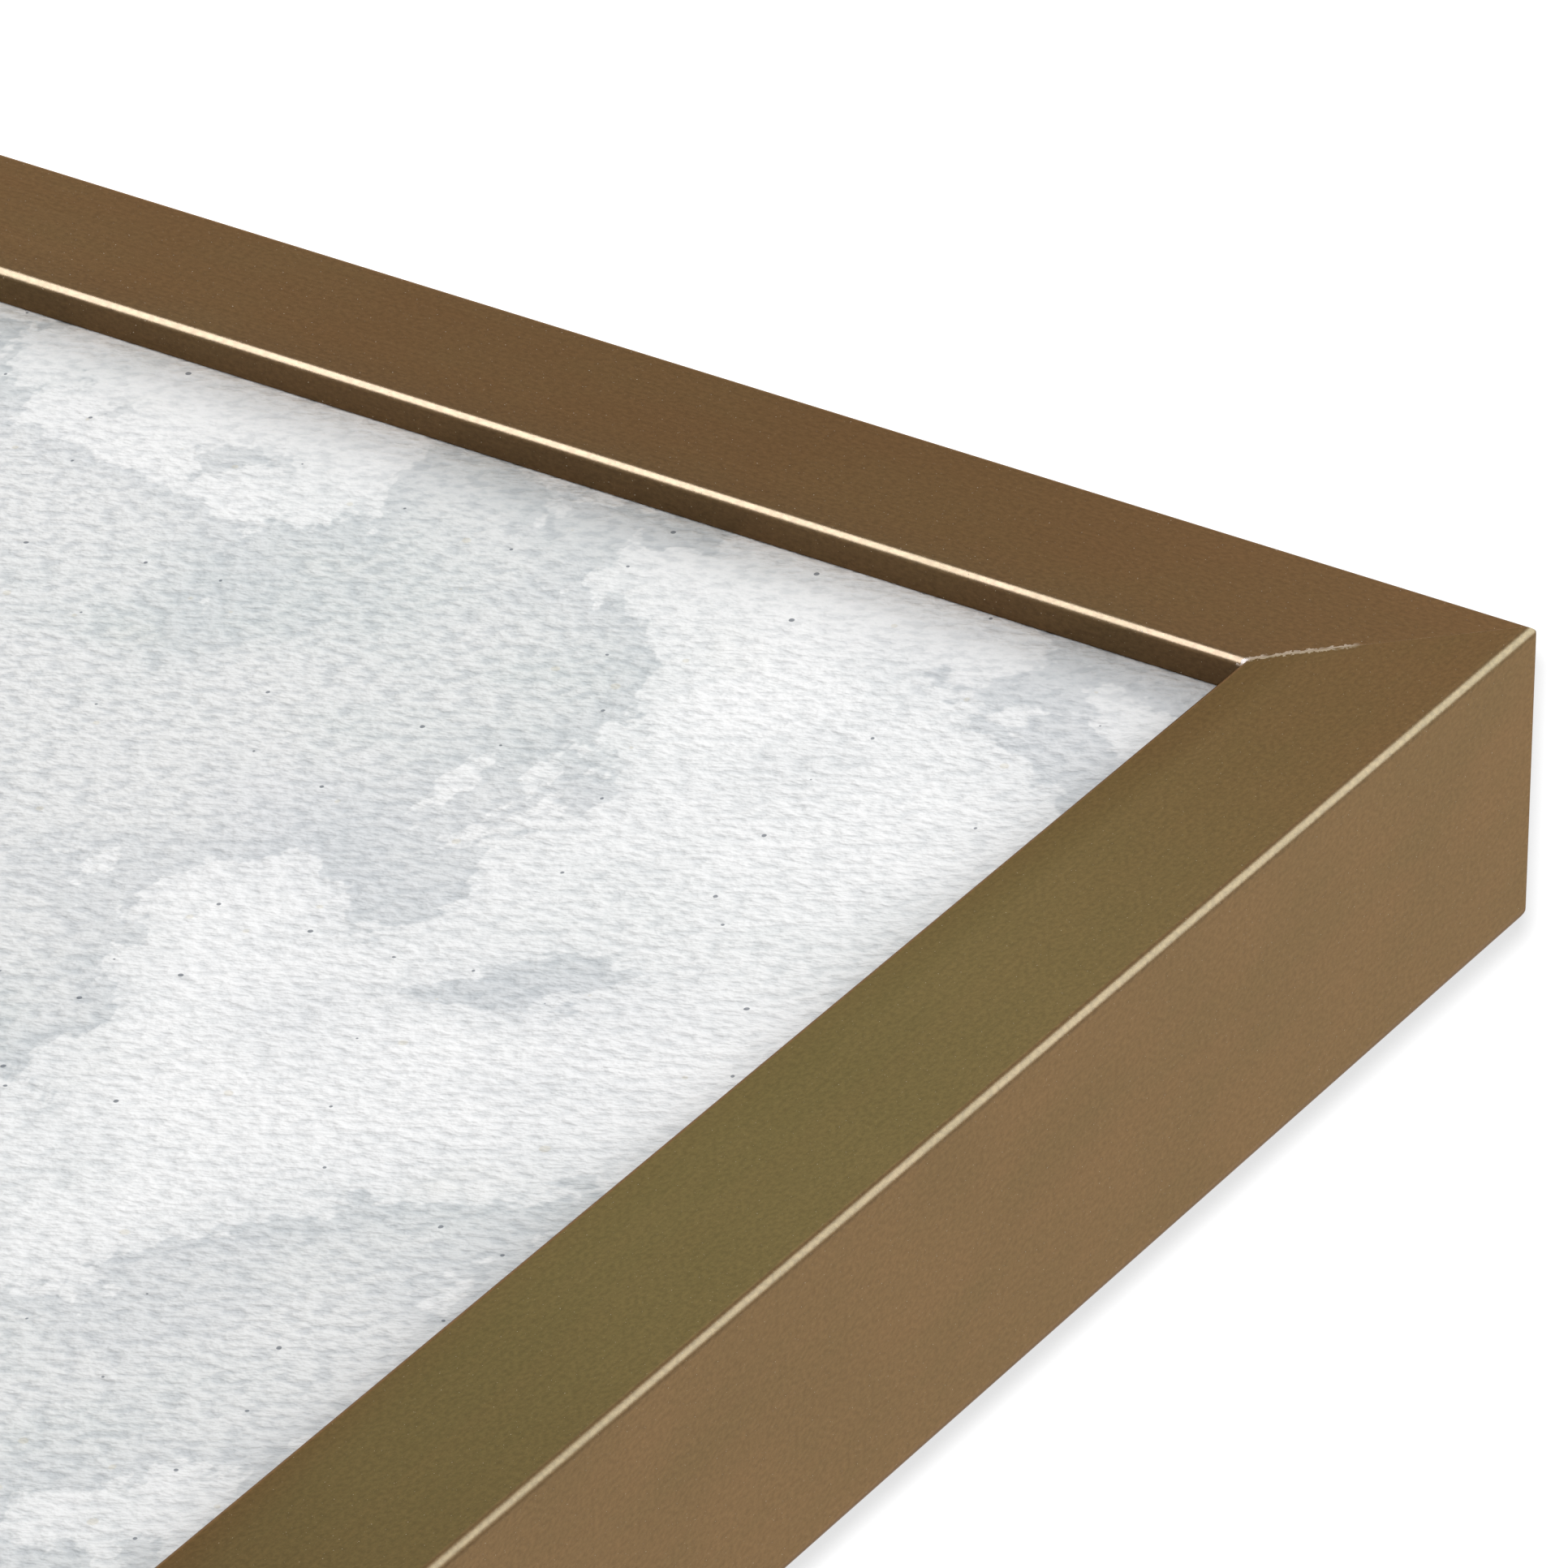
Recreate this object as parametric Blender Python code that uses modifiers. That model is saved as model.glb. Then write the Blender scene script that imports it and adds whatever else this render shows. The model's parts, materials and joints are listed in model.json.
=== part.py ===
"""Deep closed-lip picture frame for a 16 x 20 inch unglazed print, hung from two ring hangers.

The frame stands upright as it hangs: +X is to the viewer's right, +Y points into the wall and
+Z is up. The origin lies on the wall plane, midway between the two points where the wall hooks
hold the hanger rings. All lengths are in metres.
"""
import math

import bmesh
import bpy
from mathutils import Matrix, Vector

# Clearance between neighbouring pieces
GAP = 0.0003
WELD = 0.00001

# Artwork and the rabbet that holds it
ART_WIDTH = 0.406
ART_HEIGHT = 0.508
RABBET_PLAY = 0.0015
LIP_OVERLAP = 0.006

# Moulding section
FACE_WIDTH = 0.0235
MOULDING_DEPTH = 0.038
LIP_DEPTH = 0.0045
OUTER_FRONT_RADIUS = 0.0013
INNER_FRONT_RADIUS = 0.0010
OUTER_BACK_RADIUS = 0.0028
BACK_EASE_RADIUS = 0.0005
ARC_STEPS = 4

# Stack behind the lip
PRINT_THICKNESS = 0.0008
PANEL_THICKNESS = 0.003
BACKING_THICKNESS = 0.003
BACKING_PLAY = 0.001
STRAINER_WIDTH = 0.020
STRAINER_EASE_RADIUS = 0.001

# Fittings on the back
WALL_STANDOFF = 0.0055
HOOK_DROP = 0.090
V_NAIL_LEG = 0.0050
V_NAIL_THICKNESS = 0.0006
V_NAIL_HEIGHT = 0.010
V_NAIL_INSETS = (0.0045, 0.0115)
BUTTON_THICKNESS = 0.0012
BUTTON_ROOT_RADIUS = 0.0052
BUTTON_TIP_RADIUS = 0.0036
BUTTON_REACH = 0.018
BUTTON_INSET = 0.0085
BUTTON_SPREAD_X = 0.095
BUTTON_SPREAD_Z = 0.105
BUMPER_RADIUS = 0.006
BUMPER_FLAT_RADIUS = 0.0045
BUMPER_CORNER_INSET = 0.032

# Ring hangers
RING_WIRE_RADIUS = 0.0011
RING_HALF_WIDTH = 0.0068
RING_HEIGHT = 0.012
RING_CORNER_RADIUS = 0.0016
EYE_RADIUS = 0.0024
STRAP_THICKNESS = 0.002
STRAP_WIDTH = 0.0095
STRAP_LENGTH = 0.024
STRAP_SCREW_DROPS = (0.0074, 0.0185)

# Screws
SHANK_RADIUS = 0.0015
SHANK_LENGTH = 0.012
TIP_LENGTH = 0.003
HEAD_RADIUS = 0.0029
HEAD_HEIGHT = 0.0019
HEAD_RIM = 0.0007
HEAD_CROWN_RADIUS = 0.0017
HEAD_CROWN_HEIGHT = 0.0017
RECESS_WIDTH = 0.0007
RECESS_LENGTH = 0.0032
RECESS_DEPTH = 0.0010
ROUND_STEPS = 16

# Derived layout
RAIL_BACK_WIDTH = FACE_WIDTH - LIP_OVERLAP
FRAME_WIDTH = ART_WIDTH + 2.0 * (RABBET_PLAY + RAIL_BACK_WIDTH)
FRAME_HEIGHT = ART_HEIGHT + 2.0 * (RABBET_PLAY + RAIL_BACK_WIDTH)
BACK_Y = -WALL_STANDOFF
FRONT_Y = BACK_Y - MOULDING_DEPTH
TOP_Z = HOOK_DROP
BOTTOM_Z = TOP_Z - FRAME_HEIGHT
MIDDLE_Z = TOP_Z - FRAME_HEIGHT / 2.0
PRINT_FRONT_Y = FRONT_Y + LIP_DEPTH + GAP
PANEL_FRONT_Y = PRINT_FRONT_Y + PRINT_THICKNESS + GAP
STRAINER_FRONT_Y = PANEL_FRONT_Y + PANEL_THICKNESS + GAP
BACKING_FRONT_Y = BACK_Y - BACKING_THICKNESS
STRAINER_DEPTH = BACKING_FRONT_Y - GAP - STRAINER_FRONT_Y
RING_AXIS_Y = BACK_Y + GAP + EYE_RADIUS
RING_AXIS_Z = -(RING_HEIGHT - RING_WIRE_RADIUS)
RING_X = FRAME_WIDTH / 2.0 - RAIL_BACK_WIDTH / 2.0

BACK = Vector((0.0, 1.0, 0.0))
UP = Vector((0.0, 0.0, 1.0))
RIGHT = Vector((1.0, 0.0, 0.0))

# Side name, inward direction and outer length of each rail
SIDES = (
    ("top", -UP, FRAME_WIDTH),
    ("bottom", UP, FRAME_WIDTH),
    ("left", RIGHT, FRAME_HEIGHT),
    ("right", -RIGHT, FRAME_HEIGHT),
)

# Colour, roughness and metallic value of each finish
FINISHES = {
    "bronze_foil": ((0.21, 0.135, 0.065), 0.36, 0.85),
    "art_paper": ((0.80, 0.82, 0.81), 0.95, 0.0),
    "hardboard": ((0.30, 0.17, 0.085), 0.75, 0.0),
    "pine": ((0.62, 0.45, 0.27), 0.70, 0.0),
    "mount_board": ((0.60, 0.58, 0.52), 0.85, 0.0),
    "zinc_steel": ((0.62, 0.63, 0.64), 0.35, 1.0),
    "nickel_steel": ((0.64, 0.61, 0.56), 0.30, 1.0),
    "brass_plate": ((0.70, 0.52, 0.25), 0.32, 1.0),
    "bumper_rubber": ((0.030, 0.029, 0.028), 0.60, 0.0),
}


def clear_scene():
    """Empty the scene of the objects it starts with."""
    for item in list(bpy.data.objects):
        bpy.data.objects.remove(item, do_unlink=True)


def new_collection(name):
    """A collection linked to the scene."""
    group = bpy.data.collections.new(name)
    bpy.context.scene.collection.children.link(group)
    return group


def make_material(name):
    """A Principled material with the finish of that name."""
    colour, roughness, metallic = FINISHES[name]
    material = bpy.data.materials.new(name)
    material.use_nodes = True
    shader = material.node_tree.nodes["Principled BSDF"]
    shader.inputs["Base Color"].default_value = (*colour, 1.0)
    shader.inputs["Roughness"].default_value = roughness
    shader.inputs["Metallic"].default_value = metallic
    return material


def add_part(name, mesh, finish, matrix):
    """Put a mesh in the parts collection as the named piece, in its own material."""
    part = bpy.data.objects.new(name, mesh)
    PARTS.objects.link(part)
    part.matrix_world = matrix
    if not mesh.materials:
        mesh.materials.append(None)
    part.material_slots[0].link = "OBJECT"
    part.material_slots[0].material = make_material(finish)
    return part


def add_cutter(name, mesh, matrix):
    """Put a mesh among the cutters, shown as wire and never rendered."""
    cutter = bpy.data.objects.new(name, mesh)
    CUTTERS.objects.link(cutter)
    cutter.matrix_world = matrix
    cutter.display_type = "WIRE"
    cutter.hide_render = True
    return cutter


def cut(part, cutter):
    """Take the cutter's volume out of the part."""
    boolean = part.modifiers.new("cut_" + cutter.name, "BOOLEAN")
    boolean.operation = "DIFFERENCE"
    boolean.solver = "EXACT"
    boolean.object = cutter


def joined_cutter(name, pieces):
    """One cutter made of several separate volumes, each a mesh with its own placement."""
    shape = bmesh.new()
    for mesh, matrix in pieces:
        copy = mesh.copy()
        copy.transform(matrix)
        shape.from_mesh(copy)
    joined = bpy.data.meshes.new(name)
    shape.to_mesh(joined)
    shape.free()
    return add_cutter(name, joined, Matrix.Identity(4))


def evaluated_mesh(source):
    """The mesh of an object with its modifiers applied; the object itself is removed."""
    bpy.context.view_layer.update()
    depsgraph = bpy.context.evaluated_depsgraph_get()
    mesh = bpy.data.meshes.new_from_object(source.evaluated_get(depsgraph))
    bpy.data.objects.remove(source, do_unlink=True)
    return mesh


def weld(mesh):
    """Join coincident vertices and point the faces outwards."""
    shape = bmesh.new()
    shape.from_mesh(mesh)
    bmesh.ops.remove_doubles(shape, verts=shape.verts, dist=WELD)
    bmesh.ops.recalc_face_normals(shape, faces=shape.faces)
    shape.to_mesh(mesh)
    shape.free()
    return mesh


def smooth(mesh, angle=35.0):
    """Smooth shading with sharp edges where faces meet at more than the angle in degrees."""
    mesh.shade_smooth()
    mesh.set_sharp_from_angle(angle=math.radians(angle))
    return mesh


def arc(centre, radius, start, end, steps):
    """Points along an arc, from the start to the end angle in degrees."""
    points = []
    for step in range(steps + 1):
        angle = math.radians(start + (end - start) * step / steps)
        points.append((centre[0] + radius * math.cos(angle), centre[1] + radius * math.sin(angle)))
    return points


def circle(radius, steps=ROUND_STEPS):
    """Points round a circle about the origin."""
    return arc((0.0, 0.0), radius, 0.0, 360.0, steps)[:-1]


def slab(name, outlines, thickness):
    """A flat outline, with any holes, made solid to both sides of its plane."""
    curve = bpy.data.curves.new(name, "CURVE")
    curve.dimensions = "2D"
    curve.fill_mode = "BOTH"
    curve.extrude = thickness / 2.0
    for outline in outlines:
        spline = curve.splines.new("POLY")
        spline.points.add(len(outline) - 1)
        for point, (x, y) in zip(spline.points, outline):
            point.co = (x, y, 0.0, 1.0)
        spline.use_cyclic_u = True
    guide = bpy.data.objects.new(name, curve)
    PARTS.objects.link(guide)
    return weld(evaluated_mesh(guide))


def block(name, size):
    """A box centred on the origin."""
    shape = bmesh.new()
    bmesh.ops.create_cube(shape, size=1.0)
    bmesh.ops.scale(shape, vec=size, verts=shape.verts)
    mesh = bpy.data.meshes.new(name)
    shape.to_mesh(mesh)
    shape.free()
    return mesh


def turned(name, profile):
    """A solid of revolution about Z; the profile runs down its outer side at +X."""
    mesh = bpy.data.meshes.new(name)
    vertices = [(radius, 0.0, height) for radius, height in profile]
    edges = [(index, index + 1) for index in range(len(profile) - 1)]
    mesh.from_pydata(vertices, edges, [])
    guide = bpy.data.objects.new(name, mesh)
    PARTS.objects.link(guide)
    screw = guide.modifiers.new("turn", "SCREW")
    screw.angle = math.radians(360.0)
    screw.steps = ROUND_STEPS
    screw.render_steps = ROUND_STEPS
    screw.use_merge_vertices = True
    screw.merge_threshold = WELD
    return weld(evaluated_mesh(guide))


def rod(name, radius, low, high):
    """A plain cylinder along Z between two heights."""
    return turned(name, ((0.0, high), (radius, high), (radius, low), (0.0, low)))


def basis(x_axis, y_axis, z_axis, place):
    """The matrix that carries local X, Y and Z to the given directions at a place."""
    turn = Matrix((x_axis, y_axis, z_axis)).transposed()
    return Matrix.Translation(place) @ turn.to_4x4()


def side_origin(inward):
    """Middle of a side's outer edge, on the wall plane."""
    centre = Vector((0.0, 0.0, MIDDLE_Z))
    reach = FRAME_HEIGHT / 2.0 if abs(inward.z) > 0.5 else FRAME_WIDTH / 2.0
    return centre - inward * reach


def bar_matrix(inward, front_y, inset=0.0):
    """Placement of a bar whose local X is inward, local Y is back and local Z runs along it."""
    place = side_origin(inward) + inward * inset + BACK * front_y
    return basis(inward, BACK, inward.cross(BACK), place)


def back_matrix(inward, along, inset, lift):
    """Placement on a rail's back: local Y is inward, local Z points to the wall."""
    along_axis = inward.cross(BACK)
    place = side_origin(inward) + along_axis * along + inward * inset + BACK * (BACK_Y + lift)
    return basis(along_axis, inward, BACK, place)


def mitred(mesh, length):
    """Cut both ends of a bar along Z at 45 degrees, shorter towards local +X."""
    trim = GAP / math.sqrt(2.0)
    shape = bmesh.new()
    shape.from_mesh(mesh)
    for end in (-1.0, 1.0):
        result = bmesh.ops.bisect_plane(
            shape,
            geom=shape.verts[:] + shape.edges[:] + shape.faces[:],
            plane_co=(0.0, 0.0, end * (length / 2.0 - trim)),
            plane_no=(1.0, 0.0, end),
            clear_outer=True,
        )
        rim = [item for item in result["geom_cut"] if isinstance(item, bmesh.types.BMEdge)]
        bmesh.ops.edgeloop_fill(shape, edges=rim)
    bmesh.ops.recalc_face_normals(shape, faces=shape.faces)
    shape.to_mesh(mesh)
    shape.free()
    return smooth(mesh)


def moulding_outline():
    """Section of the moulding: X runs inward from the outer side, Y runs back from the face."""
    front = OUTER_FRONT_RADIUS
    lip = INNER_FRONT_RADIUS
    back = OUTER_BACK_RADIUS
    ease = BACK_EASE_RADIUS
    outline = arc((front, front), front, 180.0, 270.0, ARC_STEPS)
    outline += arc((FACE_WIDTH - lip, lip), lip, 270.0, 360.0, ARC_STEPS)
    outline += [(FACE_WIDTH, LIP_DEPTH), (RAIL_BACK_WIDTH, LIP_DEPTH)]
    outline += arc((RAIL_BACK_WIDTH - ease, MOULDING_DEPTH - ease), ease, 0.0, 90.0, 2)
    outline += arc((back, MOULDING_DEPTH - back), back, 90.0, 180.0, ARC_STEPS)
    return outline


def strainer_outline():
    """Section of a strainer bar, with its inner edges eased."""
    ease = STRAINER_EASE_RADIUS
    outline = [(0.0, 0.0)]
    outline += arc((STRAINER_WIDTH - ease, ease), ease, 270.0, 360.0, 2)
    outline += arc((STRAINER_WIDTH - ease, STRAINER_DEPTH - ease), ease, 0.0, 90.0, 2)
    outline += [(0.0, STRAINER_DEPTH)]
    return outline


def add_rails(sockets):
    """Four mitred lengths of moulding, with the sockets for the fasteners of each side."""
    for side, inward, length in SIDES:
        mesh = mitred(slab("rail_" + side, [moulding_outline()], length), length)
        rail = add_part("rail_" + side, mesh, "bronze_foil", bar_matrix(inward, FRONT_Y))
        cut(rail, joined_cutter("sockets_" + side, sockets[side]))


def add_stack():
    """Print, mount panel, strainer and backing board, front to back."""
    centre = Vector((0.0, 0.0, MIDDLE_Z))
    sheets = (
        ("art_print", "art_paper", PRINT_FRONT_Y, PRINT_THICKNESS, 0.0),
        ("mount_panel", "mount_board", PANEL_FRONT_Y, PANEL_THICKNESS, 0.0),
        ("backing_board", "hardboard", BACKING_FRONT_Y, BACKING_THICKNESS, BACKING_PLAY),
    )
    for name, finish, front_y, thickness, growth in sheets:
        size = (ART_WIDTH + growth, thickness, ART_HEIGHT + growth)
        place = Matrix.Translation(centre + BACK * (front_y + thickness / 2.0))
        add_part(name, block(name, size), finish, place)
    for side, inward, outer_length in SIDES:
        inset = RAIL_BACK_WIDTH + RABBET_PLAY
        length = outer_length - 2.0 * inset
        name = "strainer_" + side
        mesh = mitred(slab(name, [strainer_outline()], length), length)
        add_part(name, mesh, "pine", bar_matrix(inward, STRAINER_FRONT_Y, inset))


def v_outline(thickness, leg):
    """A right-angled strip with its corner at the origin and its legs along +X and +Y."""
    half = thickness / 2.0
    return [(-half, -half), (leg, -half), (leg, half), (half, half), (half, leg), (-half, leg)]


def add_v_nails(sockets):
    """Two V-nails across the mitre at each corner, in slots that both rails share."""
    nail = slab("v_nail", [v_outline(V_NAIL_THICKNESS, V_NAIL_LEG)], V_NAIL_HEIGHT)
    slot_outline = v_outline(V_NAIL_THICKNESS + 2.0 * GAP, V_NAIL_LEG + GAP)
    slot = slab("v_slot", [slot_outline], V_NAIL_HEIGHT + 4.0 * GAP)
    centre = Vector((0.0, 0.0, MIDDLE_Z))
    for upright, up in (("top", 1.0), ("bottom", -1.0)):
        for side, across in (("left", -1.0), ("right", 1.0)):
            inward = Vector((-across, 0.0, -up))
            corner = centre + Vector((across * FRAME_WIDTH / 2.0, 0.0, up * FRAME_HEIGHT / 2.0))
            x_axis = Vector((-across, 0.0, 0.0))
            y_axis = Vector((0.0, 0.0, -up))
            if x_axis.cross(y_axis).y < 0.0:
                x_axis, y_axis = y_axis, x_axis
            for order, inset in enumerate(V_NAIL_INSETS):
                depth_y = BACK_Y - GAP - V_NAIL_HEIGHT / 2.0
                place = basis(x_axis, y_axis, BACK, corner + inward * inset + BACK * depth_y)
                label = "{}_{}_{}".format(upright, side, order + 1)
                add_part("v_nail_" + label, nail.copy(), "zinc_steel", place)
                sockets[upright].append((slot, place))
                sockets[side].append((slot, place))


def screw_mesh():
    """Pan-head wood screw with a cross recess; the underside of its head is at height zero."""
    profile = [(0.0, HEAD_HEIGHT), (HEAD_CROWN_RADIUS, HEAD_CROWN_HEIGHT)]
    profile += [(HEAD_RADIUS, HEAD_RIM), (HEAD_RADIUS, 0.0), (SHANK_RADIUS, 0.0)]
    profile += [(SHANK_RADIUS, TIP_LENGTH - SHANK_LENGTH), (0.0, -SHANK_LENGTH)]
    screw = bpy.data.objects.new("pan_head_screw", turned("pan_head_screw", profile))
    PARTS.objects.link(screw)
    for name, size in (
        ("recess_across", (RECESS_LENGTH, RECESS_WIDTH, 2.0 * RECESS_DEPTH)),
        ("recess_along", (RECESS_WIDTH, RECESS_LENGTH, 2.0 * RECESS_DEPTH)),
    ):
        place = Matrix.Translation((0.0, 0.0, HEAD_HEIGHT))
        cut(screw, add_cutter(name, block(name, size), place))
    return smooth(weld(evaluated_mesh(screw)))


def add_screw(name, mesh, hole, matrix, grip, side_sockets):
    """A screw through a fitting of the given grip, with its hole in the rail behind."""
    head = matrix @ Matrix.Translation((0.0, 0.0, grip + GAP))
    add_part(name, mesh.copy(), "zinc_steel", head)
    side_sockets.append((hole, head))


def button_outline():
    """Teardrop from the screw at the origin to a rounded tip along +Y."""
    lean = math.degrees(math.asin((BUTTON_ROOT_RADIUS - BUTTON_TIP_RADIUS) / BUTTON_REACH))
    tip = arc((0.0, BUTTON_REACH), BUTTON_TIP_RADIUS, lean, 180.0 - lean, ARC_STEPS)
    root = arc((0.0, 0.0), BUTTON_ROOT_RADIUS, 180.0 - lean, 360.0 + lean, 2 * ARC_STEPS)
    return tip + root


def add_buttons(sockets, screw, hole):
    """Two turn buttons on each rail, which swivel on their screws over the backing board."""
    bore = circle(SHANK_RADIUS + GAP)
    button = smooth(slab("turn_button", [button_outline(), bore], BUTTON_THICKNESS))
    for side, inward, _ in SIDES:
        spread = BUTTON_SPREAD_X if side in ("top", "bottom") else BUTTON_SPREAD_Z
        for order, along in enumerate((-spread, spread)):
            label = "{}_{}".format(side, order + 1)
            place = back_matrix(inward, along, BUTTON_INSET, GAP + BUTTON_THICKNESS / 2.0)
            add_part("turn_button_" + label, button.copy(), "brass_plate", place)
            seat = back_matrix(inward, along, BUTTON_INSET, GAP)
            name = "button_screw_" + label
            add_screw(name, screw, hole, seat, BUTTON_THICKNESS, sockets[side])


def strap_outline():
    """Side of the folded strap: X runs up and Y runs away from the rail, the eye at the origin."""
    top_face = STRAP_THICKNESS - EYE_RADIUS
    closing = 180.0 + math.degrees(math.asin(-top_face / EYE_RADIUS))
    outline = [(-STRAP_LENGTH, -EYE_RADIUS)]
    outline += arc((0.0, 0.0), EYE_RADIUS, -90.0, closing, 3 * ARC_STEPS)
    outline += [(-STRAP_LENGTH, top_face)]
    return outline


def ring_route():
    """Centre line of the hanger ring: a straight bar along X with a bow above it."""
    corner = RING_CORNER_RADIUS
    bow_centre = RING_HEIGHT - RING_HALF_WIDTH
    route = arc((RING_HALF_WIDTH - corner, corner), corner, 270.0, 360.0, 3)
    route += arc((0.0, bow_centre), RING_HALF_WIDTH, 0.0, 180.0, 3 * ARC_STEPS)
    route += arc((corner - RING_HALF_WIDTH, corner), corner, 180.0, 270.0, 3)
    return route


def ring_mesh():
    """A wire ring that closes on itself, standing up from its bar."""
    curve = bpy.data.curves.new("hanger_ring", "CURVE")
    curve.dimensions = "3D"
    curve.bevel_depth = RING_WIRE_RADIUS
    curve.bevel_resolution = 2
    spline = curve.splines.new("POLY")
    route = ring_route()
    spline.points.add(len(route) - 1)
    for point, (x, z) in zip(spline.points, route):
        point.co = (x, 0.0, z, 1.0)
    spline.use_cyclic_u = True
    guide = bpy.data.objects.new("hanger_ring", curve)
    PARTS.objects.link(guide)
    return smooth(weld(evaluated_mesh(guide)))


def add_hangers(sockets, screw, hole):
    """A folded strap, its ring and two screws on the back of each side rail."""
    ring = ring_mesh()
    eye = circle(RING_WIRE_RADIUS + GAP)
    strap = smooth(slab("hanger_strap", [strap_outline(), eye], STRAP_WIDTH))
    bore = rod("strap_bore", SHANK_RADIUS + GAP, -EYE_RADIUS - GAP, EYE_RADIUS)
    for side, across in (("left", -1.0), ("right", 1.0)):
        axis_place = Vector((across * RING_X, RING_AXIS_Y, RING_AXIS_Z))
        ring_place = Matrix.Translation(axis_place)
        add_part("hanger_ring_" + side, ring.copy(), "nickel_steel", ring_place)
        place = basis(UP, BACK, -RIGHT, axis_place)
        plate = add_part("hanger_strap_" + side, strap.copy(), "nickel_steel", place)
        for order, drop in enumerate(STRAP_SCREW_DROPS):
            label = "{}_{}".format(side, order + 1)
            seat = basis(RIGHT, -UP, BACK, axis_place - UP * drop)
            cut(plate, add_cutter("strap_bore_" + label, bore, seat))
            seat = seat @ Matrix.Translation((0.0, 0.0, -EYE_RADIUS))
            name = "hanger_screw_" + label
            add_screw(name, screw, hole, seat, STRAP_THICKNESS, sockets[side])


def add_bumpers():
    """A soft dome near each lower corner, standing the frame off the wall."""
    height = WALL_STANDOFF - GAP
    edge = BUMPER_RADIUS - BUMPER_FLAT_RADIUS
    profile = [(0.0, height)]
    profile += reversed(arc((BUMPER_FLAT_RADIUS, height - edge), edge, 0.0, 90.0, ARC_STEPS))
    profile += [(BUMPER_RADIUS, 0.0), (0.0, 0.0)]
    mesh = smooth(turned("wall_bumper", profile))
    for side, across in (("left", -1.0), ("right", 1.0)):
        along = FRAME_WIDTH / 2.0 - BUMPER_CORNER_INSET
        place = Vector((across * along, BACK_Y + GAP, BOTTOM_Z + RAIL_BACK_WIDTH / 2.0))
        matrix = basis(RIGHT, -UP, BACK, place)
        add_part("wall_bumper_" + side, mesh.copy(), "bumper_rubber", matrix)


clear_scene()
PARTS = new_collection("picture_frame")
CUTTERS = new_collection("cutters")
SOCKETS = {side: [] for side, _, _ in SIDES}
SCREW = screw_mesh()
SCREW_HOLE = rod("screw_hole", SHANK_RADIUS + GAP, -SHANK_LENGTH - GAP, GAP)
add_stack()
add_v_nails(SOCKETS)
add_buttons(SOCKETS, SCREW, SCREW_HOLE)
add_hangers(SOCKETS, SCREW, SCREW_HOLE)
add_bumpers()
add_rails(SOCKETS)
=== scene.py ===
"""Looks for the picture frame: foil-wrapped moulding, textured print, and the fittings on its back.

Everything is in metres and in the frame's own axes: +X to the viewer's right, +Y into the wall,
+Z up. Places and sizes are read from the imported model's boxes and record.
"""
import json
import math

import bmesh
import bpy
from mathutils import Matrix, Vector, noise


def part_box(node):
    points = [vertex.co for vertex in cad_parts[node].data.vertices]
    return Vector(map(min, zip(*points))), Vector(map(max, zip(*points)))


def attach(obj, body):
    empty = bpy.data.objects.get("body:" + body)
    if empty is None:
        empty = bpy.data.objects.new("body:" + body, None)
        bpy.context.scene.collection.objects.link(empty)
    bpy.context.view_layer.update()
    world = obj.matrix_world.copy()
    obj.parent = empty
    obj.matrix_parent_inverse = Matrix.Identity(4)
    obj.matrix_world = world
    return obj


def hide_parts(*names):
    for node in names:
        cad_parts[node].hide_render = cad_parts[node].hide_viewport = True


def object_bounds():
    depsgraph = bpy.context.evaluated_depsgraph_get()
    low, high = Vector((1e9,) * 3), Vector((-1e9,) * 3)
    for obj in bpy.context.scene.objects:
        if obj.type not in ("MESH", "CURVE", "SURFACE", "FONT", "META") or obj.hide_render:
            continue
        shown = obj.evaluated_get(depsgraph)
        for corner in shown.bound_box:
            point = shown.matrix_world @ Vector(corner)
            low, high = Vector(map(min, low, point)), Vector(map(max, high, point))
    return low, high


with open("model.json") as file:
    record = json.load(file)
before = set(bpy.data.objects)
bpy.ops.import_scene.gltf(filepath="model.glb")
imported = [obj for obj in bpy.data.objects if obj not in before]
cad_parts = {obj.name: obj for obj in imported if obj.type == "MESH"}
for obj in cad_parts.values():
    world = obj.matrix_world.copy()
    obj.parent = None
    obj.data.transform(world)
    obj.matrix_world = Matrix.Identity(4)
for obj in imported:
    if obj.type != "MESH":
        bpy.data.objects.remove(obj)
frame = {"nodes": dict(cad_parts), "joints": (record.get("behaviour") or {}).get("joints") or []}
CAD_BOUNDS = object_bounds()

MM = 0.001
BACK = Vector((0.0, 1.0, 0.0))
UP = Vector((0.0, 0.0, 1.0))
RIGHT = Vector((1.0, 0.0, 0.0))

# Outer sizes, from the model
LOW, HIGH = CAD_BOUNDS
RAIL_LOW, RAIL_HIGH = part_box("rail_left")
FRONT_Y = RAIL_LOW.y
BACK_Y = RAIL_HIGH.y
FRAME_WIDTH = HIGH.x - LOW.x
FRAME_HEIGHT = HIGH.z - LOW.z
MIDDLE = Vector((0.0, 0.0, (HIGH.z + LOW.z) / 2.0))
FACE_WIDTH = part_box("rail_top")[1].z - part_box("rail_top")[0].z
DEPTH = BACK_Y - FRONT_Y

SIDES = (
    ("top", -UP, FRAME_WIDTH),
    ("bottom", UP, FRAME_WIDTH),
    ("left", RIGHT, FRAME_HEIGHT),
    ("right", -RIGHT, FRAME_HEIGHT),
)

# The photographed view: the camera looks at the upper left corner, turned so that the face
# points up in the picture. Its direction is measured from the frame's face and top rail.
LENS_MM = 298.0
CAMERA_DISTANCE = 1.379
VIEW_TILT = math.radians(30.62)
VIEW_TURN = math.radians(32.14)
CAMERA_ROLL = math.radians(-0.27)
AIM_ALONG_TOP = 0.0728
AIM_DOWN_SIDE = 0.0509
CAMERA_CLIP_END = 100.0


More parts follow.
